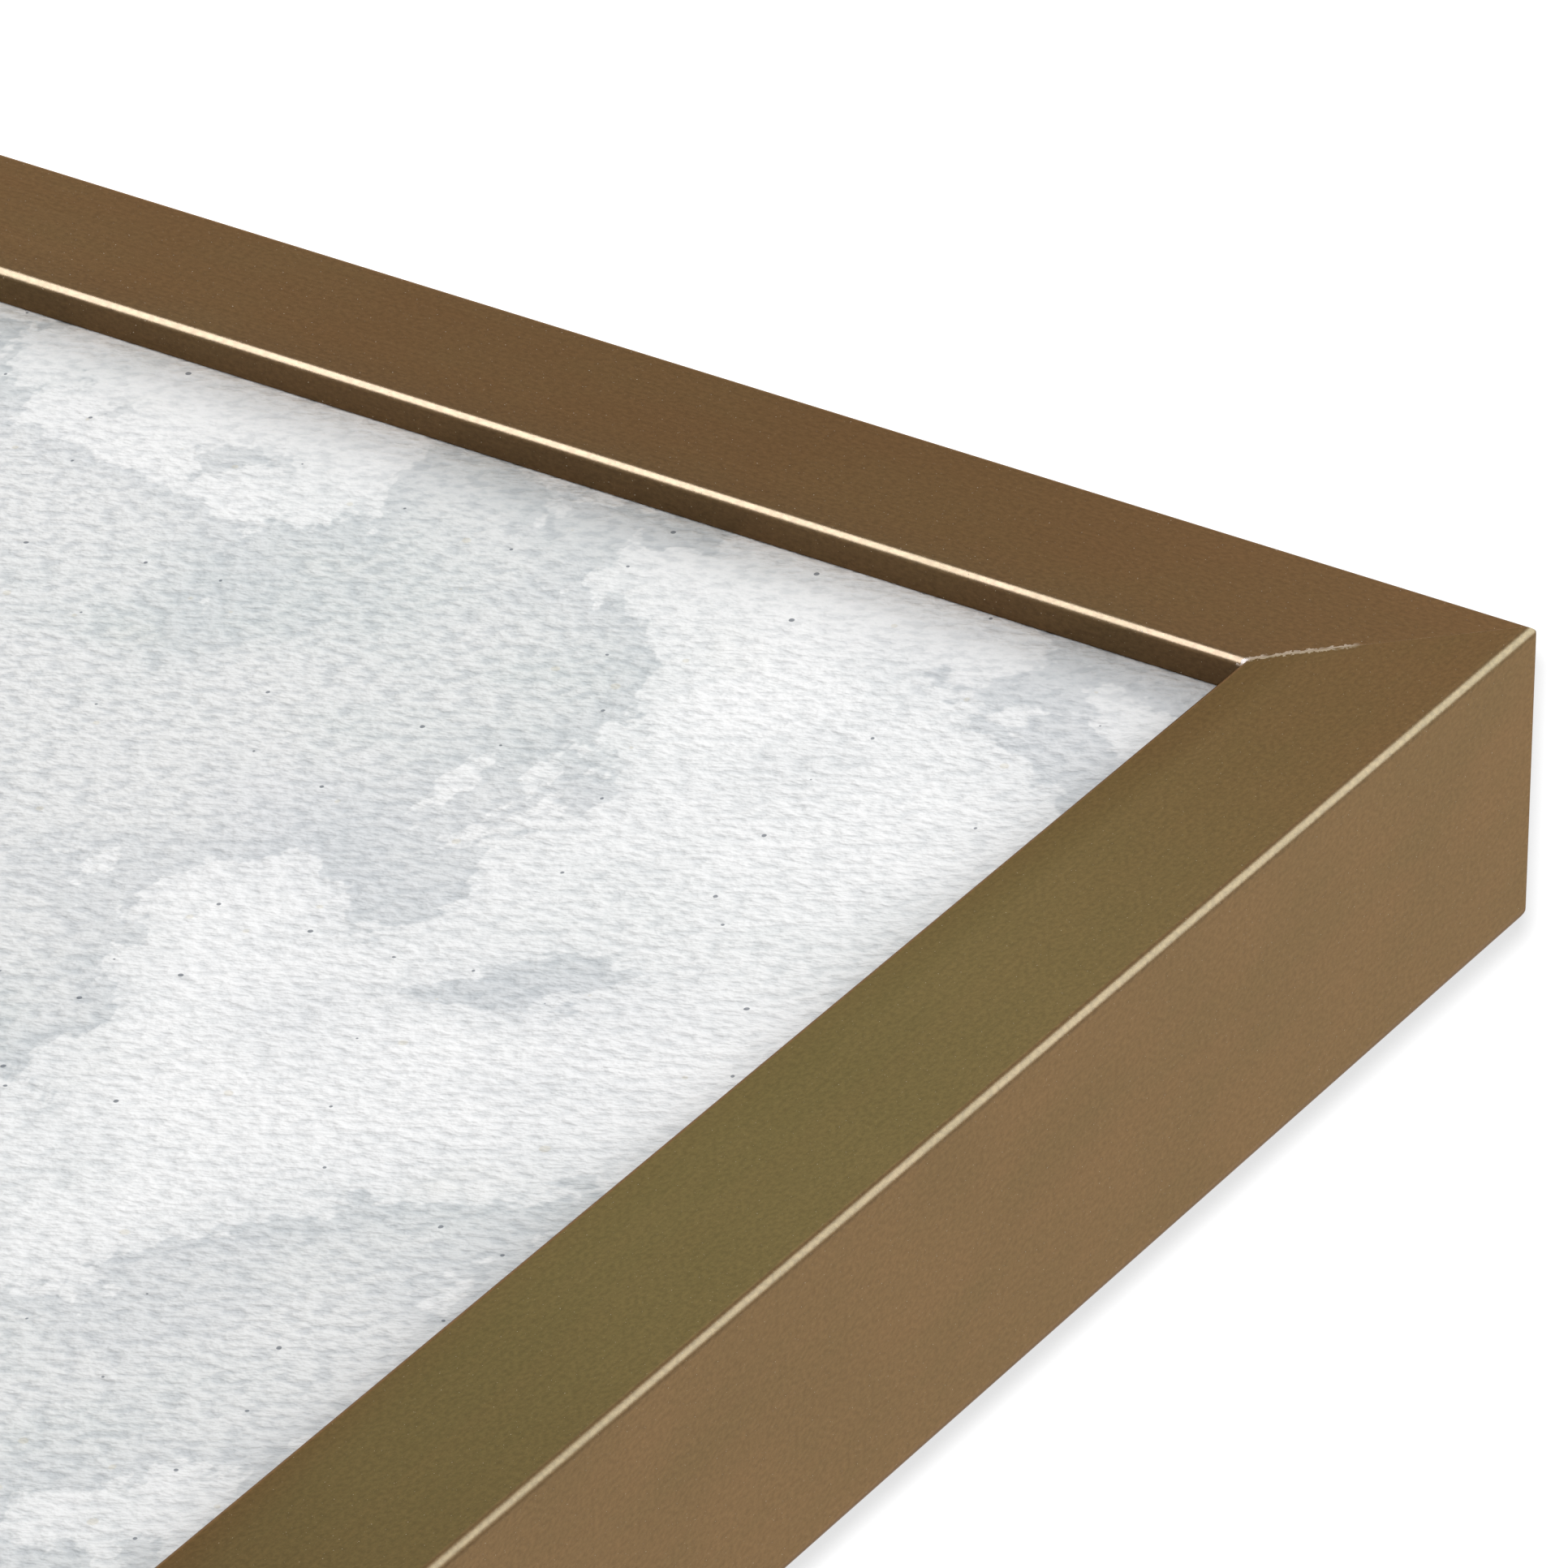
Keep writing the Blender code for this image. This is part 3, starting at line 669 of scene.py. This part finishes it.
def add_print(paper):
    """The print: a thick sheet whose front cockles very slightly between the lips."""
    low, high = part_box("art_print")
    columns = round((high.x - low.x) / PRINT_CELL)
    rows = round((high.z - low.z) / PRINT_CELL)
    front_y = FRONT_Y + LIP_DEPTH + PRINT_GAP
    shape = bmesh.new()
    sheet_map = shape.loops.layers.uv.new("sheet")
    bmesh.ops.create_grid(shape, x_segments=columns, y_segments=rows, size=0.5)
    for vertex in shape.verts:
        x = vertex.co.x
        z = vertex.co.y
        inside = (1.0 - (2.0 * x) ** COCKLE_FADE) * (1.0 - (2.0 * z) ** COCKLE_FADE)
        place = Vector((x * (high.x - low.x), 0.0, z * (high.z - low.z)))
        wave = (noise.noise(place * COCKLE_SCALE) + 1.0) / 2.0
        vertex.co = MIDDLE + place + BACK * (front_y - MIDDLE.y + COCKLE * wave * max(0.0, inside))
    for face in shape.faces:
        for loop in face.loops:
            loop[sheet_map].uv = (loop.vert.co.x, loop.vert.co.z)
    mesh = bpy.data.meshes.new("print_sheet")
    bmesh.ops.recalc_face_normals(shape, faces=shape.faces)
    shape.to_mesh(mesh)
    shape.free()
    sheet = new_piece("print_sheet", mesh)
    if mesh.polygons[0].normal.y > 0.0:
        mesh.flip_normals()
    thick = sheet.modifiers.new("thick", "SOLIDIFY")
    thick.thickness = high.y - low.y
    thick.offset = -1.0
    mesh.shade_smooth()
    mesh.materials.append(paper)
    settle(sheet, "frame", "art_paper", "art_print")


# ---------------------------------------------------------------- fittings on the back

HEAD_RADIUS = 2.9 * MM
HEAD_HEIGHT = 1.9 * MM
HEAD_RIM = 0.55 * MM
SHANK_RADIUS = 1.5 * MM
RECESS_LENGTH = 3.3 * MM
RECESS_WIDTH = 0.75 * MM
RECESS_DEPTH = 1.1 * MM
RECESS_TAPER = 0.55
HEAD_CROWN_RADIUS = 4.6 * MM
HEAD_EDGE_RADIUS = 0.5 * MM
HEAD_UNDER_CHAMFER = 0.1 * MM
POINT_LENGTH = 3.0 * MM
HOLE_CLEARANCE = 0.3 * MM
BUTTON_ROOT_RADIUS = 5.2 * MM
BUTTON_TIP_RADIUS = 3.6 * MM
BUTTON_REACH = 18.0 * MM
BUTTON_EDGE = 0.28 * MM
STRAP_LAYER = 1.0 * MM
STRAP_LAYER_GAP = 0.02 * MM
STRAP_STEP = 0.8 * MM
STRAP_CORNER_RADIUS = 3.2 * MM
STRAP_EDGE = 0.14 * MM
DRILL_REACH = 4.0 * MM
EYE_RADIUS = 2.4 * MM
STRAP_SCREW_DROPS = (7.4 * MM, 18.5 * MM)
RING_WIRE_RADIUS = 1.1 * MM
RING_HALF_WIDTH = 6.8 * MM
RING_HEIGHT = 12.0 * MM
RING_CORNER_RADIUS = 1.6 * MM
BUMPER_EDGE_RADIUS = 1.6 * MM
BUMPER_FOOT = 0.3 * MM
V_NAIL_HALF = 0.3 * MM
V_NAIL_PROUD = 0.03 * MM
V_NAIL_EDGE = 0.05 * MM
BACK_BOARD_EDGE = 0.35 * MM

PIVOTS = {joint["child"]: Vector(joint["pos_m"]) for joint in frame["joints"]}
INWARD = {side: inward for side, inward, _ in SIDES}


def screw_mesh(length):
    """Pan-head screw with a cross recess; the underside of its head is at height zero."""
    edge = HEAD_RADIUS - HEAD_EDGE_RADIUS
    under = HEAD_UNDER_CHAMFER
    crown = arc((0.0, HEAD_HEIGHT - HEAD_CROWN_RADIUS), HEAD_CROWN_RADIUS, 90.0, 62.0, 6)
    profile = [point for point in crown if point[0] < edge]
    profile += arc((edge, HEAD_RIM + under), HEAD_EDGE_RADIUS, 60.0, 0.0, 5)
    profile += [(HEAD_RADIUS, under), (HEAD_RADIUS - under, 0.0), (SHANK_RADIUS, 0.0)]
    profile += [(SHANK_RADIUS, POINT_LENGTH - length), (0.0, -length)]
    screw = new_piece("screw", turned("screw", profile, 32))
    cutters = []
    for size in ((RECESS_LENGTH, RECESS_WIDTH), (RECESS_WIDTH, RECESS_LENGTH)):
        mesh = block("recess", (size[0], size[1], 2.0 * RECESS_DEPTH))
        for vertex in mesh.vertices:
            if vertex.co.z < 0.0:
                vertex.co.x *= RECESS_TAPER
                vertex.co.y *= RECESS_TAPER
        cutter = new_piece("recess", mesh, Matrix.Translation((0.0, 0.0, HEAD_HEIGHT)))
        boolean = screw.modifiers.new("recess", "BOOLEAN")
        boolean.operation = "DIFFERENCE"
        boolean.object = cutter
        cutters.append(cutter)
    mesh = shaded(baked(screw), 30.0)
    for cutter in cutters:
        bpy.data.objects.remove(cutter, do_unlink=True)
    return mesh


def add_screws(plate):
    """A screw for each turn button and two for each hanger strap."""
    names = sorted(name for name in frame["nodes"] if "_screw_" in name)
    low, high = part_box(names[0])
    mesh = screw_mesh(high.y - low.y - HEAD_HEIGHT)
    mesh.materials.append(plate)
    for index, name in enumerate(names):
        low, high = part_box(name)
        head = Vector(((low.x + high.x) / 2.0, high.y - HEAD_HEIGHT, (low.z + high.z) / 2.0))
        turn = Matrix.Rotation(math.radians(17.0 + 41.0 * index), 4, "Z")
        matrix = basis(RIGHT, -UP, BACK, head) @ turn
        settle(new_piece(name + "_made", mesh, matrix), "frame", "zinc_steel", name)


def add_buttons(plate):
    """Turn buttons: a rounded plate, riding on its own swivel."""
    lean = math.degrees(math.asin((BUTTON_ROOT_RADIUS - BUTTON_TIP_RADIUS) / BUTTON_REACH))
    outline = arc((0.0, BUTTON_REACH), BUTTON_TIP_RADIUS, lean, 180.0 - lean, 14)
    outline += arc((0.0, 0.0), BUTTON_ROOT_RADIUS, 180.0 - lean, 360.0 + lean, 24)
    bore = arc((0.0, 0.0), SHANK_RADIUS + HOLE_CLEARANCE, 0.0, 360.0, 24)[:-1]
    low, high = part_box("turn_button_top_1")
    mesh = slab("turn_button", [outline, bore], high.y - low.y)
    mesh.materials.append(plate)
    for body, pivot in PIVOTS.items():
        if not body.startswith("turn_button_"):
            continue
        inward = INWARD[body.split("_")[2]]
        matrix = basis(inward.cross(BACK), inward, BACK, pivot)
        button = new_piece(body + "_made", mesh, matrix)
        rounded(button, BUTTON_EDGE)
        settle(button, body, "brass_plate", body)


def strap_route():
    """Middle line of the strap, from the lower end of its front layer to that of its back."""
    middle = EYE_RADIUS - STRAP_LAYER / 2.0
    near_y = -EYE_RADIUS + STRAP_LAYER / 2.0
    far_y = near_y + STRAP_LAYER + STRAP_LAYER_GAP
    low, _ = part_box("hanger_strap_left")
    bottom = low.z - PIVOTS["hanger_ring_left"].z
    meeting = math.degrees(math.acos(far_y / middle))
    route = [(bottom, near_y)]
    route += [(bottom + STRAP_STEP * step, near_y) for step in range(1, 6)]
    route += [(z, y) for y, z in arc((0.0, 0.0), middle, 180.0, -meeting, 28)]
    route += [(bottom + STRAP_STEP * step, far_y) for step in range(5, 0, -1)]
    route += [(bottom, far_y)]
    return route, bottom


def strap_mesh():
    """A strip folded round the ring's bar, with a rounded lower end; its two screw holes are
    drilled in add_hangers.
    """
    route, bottom = strap_route()
    low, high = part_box("hanger_strap_left")
    half = (high.x - low.x) / 2.0
    corner = STRAP_CORNER_RADIUS
    shape = bmesh.new()
    rows = []
    for index, (z, y) in enumerate(route):
        before = route[max(index - 1, 0)]
        after = route[min(index + 1, len(route) - 1)]
        along = Vector((0.0, after[1] - before[1], after[0] - before[0])).normalized()
        across = Vector((0.0, along.z, -along.y)) * (STRAP_LAYER / 2.0)
        rise = min(z - bottom, corner)
        width = half - corner + math.sqrt(corner**2 - (corner - rise) ** 2)
        place = Vector((0.0, y, z))
        row = []
        for side, face in ((-1.0, 1.0), (1.0, 1.0), (1.0, -1.0), (-1.0, -1.0)):
            row.append(shape.verts.new(place + RIGHT * side * width + across * face))
        rows.append(row)
    for first, second in zip(rows, rows[1:]):
        for index in range(4):
            after = (index + 1) % 4
            shape.faces.new((first[index], first[after], second[after], second[index]))
    shape.faces.new(rows[0])
    shape.faces.new(rows[-1])
    bmesh.ops.recalc_face_normals(shape, faces=shape.faces)
    mesh = bpy.data.meshes.new("hanger_strap")
    shape.to_mesh(mesh)
    shape.free()
    return mesh


def add_hangers(plate):
    """Folded straps and their D-shaped rings."""
    strap = new_piece("strap", strap_mesh())
    drills = []
    for drop in STRAP_SCREW_DROPS:
        profile = [(0.0, DRILL_REACH), (SHANK_RADIUS + HOLE_CLEARANCE, DRILL_REACH)]
        profile += [(SHANK_RADIUS + HOLE_CLEARANCE, -DRILL_REACH), (0.0, -DRILL_REACH)]
        matrix = basis(RIGHT, -UP, BACK, Vector((0.0, 0.0, -drop)))
        drill = new_piece("drill", turned("drill", profile, 24), matrix)
        boolean = strap.modifiers.new("drill", "BOOLEAN")
        boolean.operation = "DIFFERENCE"
        boolean.object = drill
        drills.append(drill)
    rounded(strap, STRAP_EDGE, 2)
    mesh = shaded(baked(strap))
    mesh.materials.append(plate)
    for drill in drills:
        bpy.data.objects.remove(drill, do_unlink=True)
    ring = ring_mesh()
    ring.materials.append(plate)
    for side in ("left", "right"):
        body = "hanger_ring_" + side
        place = Matrix.Translation(PIVOTS[body])
        strap = new_piece("strap_" + side, mesh, place)
        settle(strap, "frame", "nickel_steel", "hanger_strap_" + side)
        settle(new_piece("ring_" + side, ring, place), body, "nickel_steel", body)


def ring_mesh():
    """Wire ring: a straight bar along X with a bow above it."""
    corner = RING_CORNER_RADIUS
    route = arc((RING_HALF_WIDTH - corner, corner), corner, 270.0, 360.0, 8)
    route += arc((0.0, RING_HEIGHT - RING_HALF_WIDTH), RING_HALF_WIDTH, 0.0, 180.0, 40)
    route += arc((corner - RING_HALF_WIDTH, corner), corner, 180.0, 270.0, 8)
    curve = bpy.data.curves.new("ring", "CURVE")
    curve.dimensions = "3D"
    curve.bevel_depth = RING_WIRE_RADIUS
    curve.bevel_resolution = 6
    spline = curve.splines.new("POLY")
    spline.points.add(len(route) - 1)
    for point, (x, z) in zip(spline.points, route):
        point.co = (x, 0.0, z, 1.0)
    spline.use_cyclic_u = True
    mesh = baked(new_piece("ring", curve))
    mesh.shade_smooth()
    return mesh


def add_bumpers(rubber):
    """Domed rubber bumpers at the lower corners."""
    low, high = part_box("wall_bumper_left")
    radius = (high.x - low.x) / 2.0
    height = high.y - low.y + CAD_GAP
    edge = BUMPER_EDGE_RADIUS
    profile = [(0.0, height), (radius - edge, height)]
    profile += arc((radius - edge, height - edge), edge, 80.0, 0.0, 10)
    profile += [(radius, BUMPER_FOOT), (radius - BUMPER_FOOT, 0.0), (0.0, 0.0)]
    mesh = turned("bumper", profile)
    mesh.materials.append(rubber)
    for side in ("left", "right"):
        low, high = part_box("wall_bumper_" + side)
        seat = Vector(((low.x + high.x) / 2.0, high.y - height, (low.z + high.z) / 2.0))
        bumper = new_piece("bumper_" + side, mesh, basis(RIGHT, -UP, BACK, seat))
        settle(bumper, "frame", "bumper_rubber", "wall_bumper_" + side)


def add_v_nails(plate):
    """V-nails driven flush with the back of each mitre."""
    for name in sorted(frame["nodes"]):
        if not name.startswith("v_nail_"):
            continue
        low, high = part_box(name)
        centre = (low + high) / 2.0
        across = RIGHT if centre.x < 0.0 else -RIGHT
        up = -UP if centre.z > MIDDLE.z else UP
        x_axis, y_axis = across, up
        if x_axis.cross(y_axis).y < 0.0:
            x_axis, y_axis = y_axis, x_axis
        size = high.x - low.x
        half = V_NAIL_HALF
        leg = size - half
        corner = centre - (across + up) * (size / 2.0 - half)
        corner.y = BACK_Y - (high.y - low.y) / 2.0 + V_NAIL_PROUD
        outline = [(-half, -half), (leg, -half), (leg, half)]
        outline += [(half, half), (half, leg), (-half, leg)]
        mesh = slab(name, [outline], high.y - low.y)
        mesh.materials.append(plate)
        nail = new_piece(name + "_made", mesh, basis(x_axis, y_axis, BACK, corner))
        rounded(nail, V_NAIL_EDGE, 1)
        settle(nail, "frame", "zinc_steel", name)


def add_back_board(board):
    """The hardboard back, with softly broken edges."""
    low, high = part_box("backing_board")
    mesh = block("back_board", high - low)
    mesh.materials.append(board)
    piece = new_piece("back_board", mesh, Matrix.Translation((low + high) / 2.0))
    rounded(piece, BACK_BOARD_EDGE)
    settle(piece, "frame", "hardboard", "backing_board")


def dress(nodes, material):
    """Give CAD nodes that stay as they are a detailed material."""
    for node in nodes:
        mesh_object = frame["nodes"][node]
        mesh_object.data.materials.clear()
        mesh_object.data.materials.append(material)


# ---------------------------------------------------------------- studio

# Soft lights: name, place and aim measured from the photographed corner, size, radiance, colour,
# and the mouldings that show its reflection. A light with no mouldings is for all the other pieces.
AT_CORNER = (0.0, 0.0, 0.0)
ALL_SIDES = ("top", "bottom", "left", "right")
SOFT_LIGHTS = (
    ("key", (-1.20, -0.55, 0.65), AT_CORNER, (0.7, 0.7), 7.5, (1.0, 1.0, 1.0), ()),
    ("side_fill", (-1.31, 0.92, 0.82), AT_CORNER, (1.3, 1.3), 1.20, (0.64, 0.80, 1.0), ALL_SIDES),
    ("cool_fill", (-0.05, -0.16, -0.135), (0.16, 0.0, 0.0), (0.14, 0.14), 0.8,
     (0.40, 0.95, 0.70), ("top",)),
    ("face_fill", (-0.87, -0.61, -0.50), AT_CORNER, (0.9, 0.9), 0.58, (1.0, 0.97, 0.95),
     ALL_SIDES),
    ("edge_fill", (-1.53, -0.96, 1.07), AT_CORNER, (2.2, 2.2), 1.0, (0.8, 0.9, 1.0), ALL_SIDES),
    ("edge_glint", (-0.82, -0.51, 0.57), AT_CORNER, (0.8, 0.8), 7.5, (0.42, 0.66, 1.0), ("top",)),
    ("inner_glint", (0.19, -0.29, -0.31), (0.0, 0.0, -0.11), (0.50, 0.38), 17.0,
     (0.46, 0.62, 1.0), ("left",)),
)
BACK_LIGHT_PLACE = (1.1, 1.5, 0.9)
BACK_LIGHT_SIZE = (1.4, 1.0)
BACK_LIGHT_RADIANCE = 3.0
FLOOR_REACH = 40.0
FLOOR_GAP = 0.2 * MM
WORLD_STRENGTH = 0.84
SHADOW_LAMP_POWER = 335.0
SHADOW_LAMP_RADIUS = 0.004
SHADOW_LAMP_SPREAD = math.radians(52.0)
SHADOW_LAMP_OFFSET = Vector((-0.0020, 0.0048, 0.0))


def add_floor():
    """A plain pale floor under the frame's lower rail."""
    mesh = bpy.data.meshes.new("floor")
    shape = bmesh.new()
    bmesh.ops.create_grid(shape, x_segments=1, y_segments=1, size=FLOOR_REACH)
    shape.to_mesh(mesh)
    shape.free()
    floor = new_piece("floor", mesh, Matrix.Translation((0.0, 0.0, LOW.z - FLOOR_GAP)))
    graph = Graph("floor", 0.9)
    mottle = graph.noise(graph.coordinates(EVEN), 2.0, 2.0, 0.5)
    graph.set("Base Color", graph.blend(mottle, FLOOR_DARK, FLOOR_LIGHT))
    mesh.materials.append(graph.material)
    return floor


def aimed(light_data, place, target):
    """A light at a place, turned to a target, which the camera doesn't see."""
    light = bpy.data.objects.new(light_data.name, light_data)
    bpy.context.scene.collection.objects.link(light)
    light.location = place
    light.rotation_mode = "QUATERNION"
    light.rotation_quaternion = (Vector(target) - Vector(place)).to_track_quat("-Z", "Y")
    light.visible_camera = False
    return light


def soft_light(name, place, target, size, radiance, colour=(1.0, 1.0, 1.0)):
    """A rectangular soft light of the given radiance."""
    data = bpy.data.lights.new(name, "AREA")
    data.shape = "RECTANGLE"
    data.size, data.size_y = size
    data.energy = radiance * 4.0 * size[0] * size[1]
    data.color = colour
    return aimed(data, place, target)


def lit_only(light, objects, state):
    """Limit a light to some objects, or keep it off them."""
    receivers = bpy.data.collections.new(light.name + "_receivers")
    for item in objects:
        receivers.objects.link(item)
    for link in receivers.collection_objects:
        link.light_linking.link_state = state
    light.light_linking.receiver_collection = receivers


def add_shadow_lamp(corner, floor):
    """A small lamp beside the camera that gives the frame a narrow soft shadow on the floor."""
    data = bpy.data.lights.new("shadow_lamp", "SPOT")
    data.shadow_soft_size = SHADOW_LAMP_RADIUS
    data.spot_size = SHADOW_LAMP_SPREAD
    data.spot_blend = 1.0
    data.energy = SHADOW_LAMP_POWER
    place = bpy.context.scene.camera.matrix_world @ SHADOW_LAMP_OFFSET
    lit_only(aimed(data, place, corner), [floor], "INCLUDE")


def add_studio(floor):
    """Soft lights, a shadow lamp and a white surround.

    The mouldings' own lights show in them as reflections only.
    """
    world = bpy.data.worlds.new("surround")
    world.use_nodes = True
    background = world.node_tree.nodes["Background"]
    background.inputs["Color"].default_value = (1.0, 1.0, 1.0, 1.0)
    background.inputs["Strength"].default_value = WORLD_STRENGTH
    bpy.context.scene.world = world
    corner = Vector((LOW.x, FRONT_Y, HIGH.z))
    for name, away, aim, size, radiance, colour, sides in SOFT_LIGHTS:
        place = corner + Vector(away)
        light = soft_light(name, place, corner + Vector(aim), size, radiance, colour)
        if sides:
            light.visible_diffuse = False
            lit_only(light, [MOULDINGS[side] for side in sides], "INCLUDE")
        else:
            lit_only(light, [*MOULDINGS.values(), floor], "EXCLUDE")
    back_light = soft_light("back_light", BACK_LIGHT_PLACE, MIDDLE, BACK_LIGHT_SIZE,
                            BACK_LIGHT_RADIANCE)
    lit_only(back_light, [floor], "EXCLUDE")
    add_shadow_lamp(corner, floor)
    scene = bpy.context.scene
    scene.view_settings.view_transform = "Standard"
    scene.view_settings.look = "None"


# ---------------------------------------------------------------- the scene

add_camera()
zinc = plated_material("zinc_steel", ZINC, ZINC_WORN, 0.30)
nickel = plated_material("nickel_steel", NICKEL, NICKEL_WORN, 0.26)
brass = plated_material("brass_plate", BRASS, BRASS_WORN, 0.28)
add_rails(foil_material(), wood_material("core_wood", CORE_LIGHT, CORE_DARK, 2))
add_print(paper_material())
add_screws(zinc)
add_buttons(brass)
add_hangers(nickel)
add_bumpers(rubber_material())
add_v_nails(zinc)
add_back_board(hardboard_material())
dress(["mount_panel"], board_material())
dress(["strainer_top", "strainer_bottom"], wood_material("pine_across", PINE_LIGHT, PINE_DARK, 0))
dress(["strainer_left", "strainer_right"], wood_material("pine_upright", PINE_LIGHT, PINE_DARK, 2))
add_studio(add_floor())
